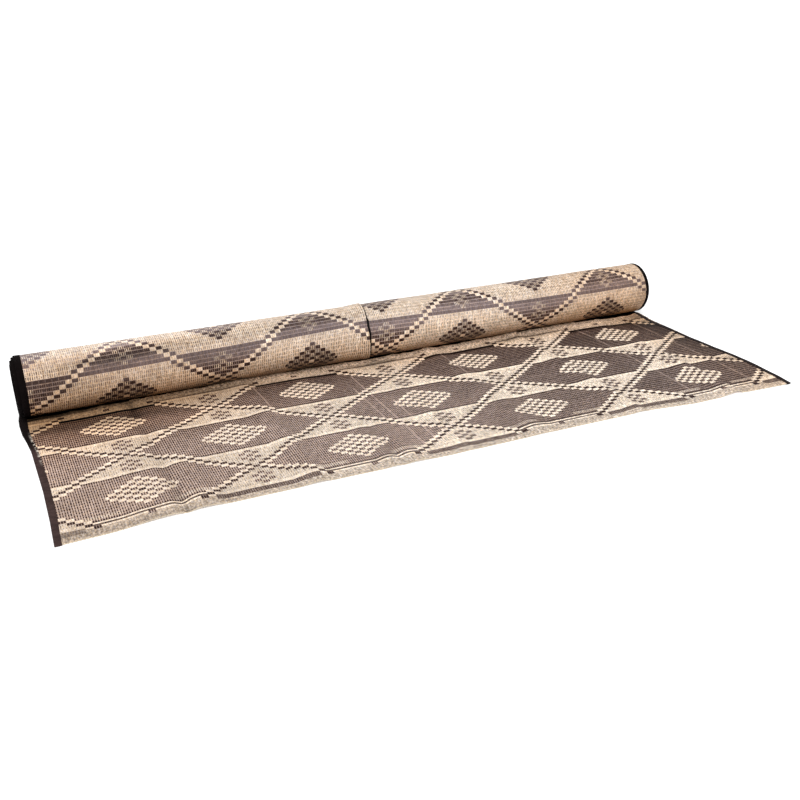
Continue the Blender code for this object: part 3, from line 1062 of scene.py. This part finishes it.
# Section of the folded tape. Columns: share of its width from the outer edge, share of half its thickness
TAPE_SECTION = (
    (1.0, 0.72), (0.93, 0.95), (0.5, 1.0), (0.12, 1.0), (0.0, 0.55),
    (0.0, -0.55), (0.12, -1.0), (0.5, -1.0), (0.93, -0.95), (1.0, -0.72),
)


def bind(name, line, material):
    """Folds a tape along an edge. line gives its outer point, inward vector and normal at each step."""
    count = len(TAPE_SECTION)
    obj, places = add_grid(name, count, len(line) - 1)
    mesh = obj.data
    length = [0.0]
    for (here, *_), (there, *_) in zip(line, line[1:]):
        length.append(length[-1] + (there - here).length)
    for vertex, (side, step) in zip(mesh.vertices, places):
        inward_share, up_share = TAPE_SECTION[side % count]
        outer, inward, normal = line[step]
        vertex.co = outer + inward * inward_share + normal * (up_share * TAPE_THICK / 2)
    layer = mesh.uv_layers.active
    layer.name = "tape"
    for loop in mesh.loops:
        side, step = places[loop.vertex_index]
        layer.data[loop.index].uv = (side / count, length[step])
    select_only(obj)
    bpy.ops.object.mode_set(mode="EDIT")
    bpy.ops.mesh.select_all(action="SELECT")
    bpy.ops.mesh.remove_doubles(threshold=0.00001)
    bpy.ops.mesh.select_all(action="DESELECT")
    bpy.ops.mesh.select_non_manifold()
    bpy.ops.mesh.fill_holes(sides=count)
    bpy.ops.mesh.select_all(action="SELECT")
    bpy.ops.mesh.normals_make_consistent(inside=False)
    bpy.ops.object.mode_set(mode="OBJECT")
    obj.data.materials.append(material)
    bpy.ops.object.shade_smooth_by_angle(angle=math.radians(50))
    return obj


# The bound sides of the front panel. Columns: r, c of the outer edge, width in metres
LEFT_SIDE = ((-14.8, -28.8, 0.017), (-11.5, -29.1, 0.019), (-8.8, -29.2, 0.019), (-4.0, -29.1, 0.017),
             (0.0, -28.8, 0.014), (5.3, -28.5, 0.015), (24.0, -28.3, 0.0155), (36.0, -28.4, 0.015),
             (43.6, -28.6, 0.014))
RIGHT_SIDE = ((-13.2, 92.3, 0.012), (-4.0, 92.2, 0.013), (10.0, 92.5, 0.013), (20.0, 92.7, 0.014),
              (31.0, 93.1, 0.014), (43.6, 92.6, 0.014))
FLAT_TAPE_STEPS = 70
# The rolled-up tapes: width at the left and right end, first angle, and degrees between their points on the
# outer turn and further in
LEFT_TAPE_WIDTH = 0.0155
RIGHT_TAPE_WIDTH = 0.0110
ROLL_TAPE_START = 2.0
OUTER_TAPE_END = 400.0
OUTER_TAPE_STEP = 4.0
INNER_TAPE_STEP = 7.0
# From this angle on the tapes slip along with the inner turns
SLIP_START = 300.0


def flat_edge(side, inward_sign):
    """The line of a tape along a side of the front panel."""
    line = []
    low, high = side[0][0], side[-1][0]
    for step in range(FLAT_TAPE_STEPS + 1):
        r = low + (high - low) * step / FLAT_TAPE_STEPS
        c = along([(row[0], row[1]) for row in side], r)
        width = along([(row[0], row[2]) for row in side], r)
        x, y, z = front_place(c, r)
        line.append((Vector((x, y, z)), Vector((inward_sign * width, 0.0, 0.0)), Vector((0.0, 0.0, 1.0))))
    return line


def roll_edge(p, inward_sign, width):
    """The line of a tape wound up round an end of the roll."""
    line = []
    angle = ROLL_TAPE_START
    while angle <= INNER_END:
        slip = inner_slip(max(angle, INNER_START)) * rise(angle, SLIP_START, INNER_START)
        x = place_x(p) + slip
        turn = math.radians(angle)
        normal = Vector((0.0, math.sin(turn), -math.cos(turn)))
        spot = Vector(round_roll(x, angle, middle_radius(angle)))
        line.append((spot, Vector((inward_sign * width, 0.0, 0.0)), normal))
        angle += OUTER_TAPE_STEP if angle < OUTER_TAPE_END else INNER_TAPE_STEP
    return line


# A floor so wide that its far edge is out of sight, a hair below the mat
FLOOR_SIZE = 300.0
FLOOR_Z = -0.0002
FLOOR_GLOW = 0.2
SKY_STRENGTH = 0.70
# A wide, soft light from the left and front: where it shines from, its strength and its width in degrees
LIGHT_FROM = (-0.35, -0.60, 1.0)
LIGHT_STRENGTH = 2.3
LIGHT_WIDTH = 50.0
# The photo's camera, fitted to crossings of the pattern: its place in half repeats, its lift in metres, its
# tilt and turn in radians, and its lens in mm
CAMERA_PLACE = (-2.0269, -8.7248, 3.9442)
CAMERA_LIFT = 0.004
CAMERA_TILT = 0.41647
CAMERA_TURN = 0.44187
CAMERA_LENS = 42.54


def make_floor():
    bpy.ops.object.select_all(action="DESELECT")
    bpy.ops.mesh.primitive_plane_add(size=FLOOR_SIZE, location=(0.0, 0.0, FLOOR_Z))
    floor = bpy.context.active_object
    floor.name = "floor"
    nodes = Nodes("pale_floor")
    nodes.shader.inputs["Emission Color"].default_value = WHITE
    nodes.shader.inputs["Emission Strength"].default_value = FLOOR_GLOW
    floor.data.materials.append(nodes.finish(FLOOR, 0.9, 0.0))


def make_light():
    world = bpy.data.worlds.new("studio")
    bpy.context.scene.world = world
    world.use_nodes = True
    world.node_tree.nodes["Background"].inputs["Color"].default_value = WHITE
    world.node_tree.nodes["Background"].inputs["Strength"].default_value = SKY_STRENGTH
    light = bpy.data.lights.new("ceiling", "SUN")
    light.angle = math.radians(LIGHT_WIDTH)
    light.energy = LIGHT_STRENGTH
    obj = bpy.data.objects.new("ceiling", light)
    toward = Vector(LIGHT_FROM)
    obj.location = toward * 3.0
    obj.rotation_euler = (-toward).to_track_quat("-Z", "Y").to_euler()
    bpy.context.collection.objects.link(obj)
    bpy.context.scene.view_settings.view_transform = "Standard"


def make_camera():
    data = bpy.data.cameras.new("camera")
    data.sensor_width = 36.0
    data.lens = CAMERA_LENS
    data.clip_end = 400.0
    camera = bpy.data.objects.new("camera", data)
    p, q, up = CAMERA_PLACE
    camera.location = (place_x(p), q * HALF_REPEAT + Y_ORIGIN, up * HALF_REPEAT + CAMERA_LIFT)
    camera.rotation_euler = (math.pi / 2 - CAMERA_TILT, 0.0, -CAMERA_TURN)
    bpy.context.collection.objects.link(camera)
    bpy.context.scene.camera = camera


make_camera()
make_light()
make_floor()

front_panel = lay_sheet("front_panel", PANEL_COLUMNS, front_place, face_look)
outer_turn = lay_sheet("outer_turn", TURN_COLUMNS, outer_place, under_look)
inner_turns = make_inner_turns()
flat_left = bind("flat_binding_left", flat_edge(LEFT_SIDE, 1), left_tape)
flat_right = bind("flat_binding_right", flat_edge(RIGHT_SIDE, -1), right_tape)
roll_left = bind("roll_binding_left", roll_edge(ROLL_LEFT_P, 1, LEFT_TAPE_WIDTH), roll_tape)
roll_right = bind("roll_binding_right", roll_edge(ROLL_RIGHT_P, -1, RIGHT_TAPE_WIDTH), roll_tape)

for piece, nodes_replaced, slot in (
    (front_panel, ("loose_end",), "straw_face"),
    (outer_turn, ("wound_roll",), "straw_back"),
    (inner_turns, (), "straw_back"),
    (flat_left, ("edge_tape_left",), "binding_tape"),
    (flat_right, ("edge_tape_right",), "binding_tape"),
    (roll_left, ("rim_tape_left",), "binding_tape"),
    (roll_right, ("rim_tape_right",), "binding_tape"),
):
    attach(piece, "root")
    if nodes_replaced:
        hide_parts(*nodes_replaced)

bpy.context.view_layer.update()
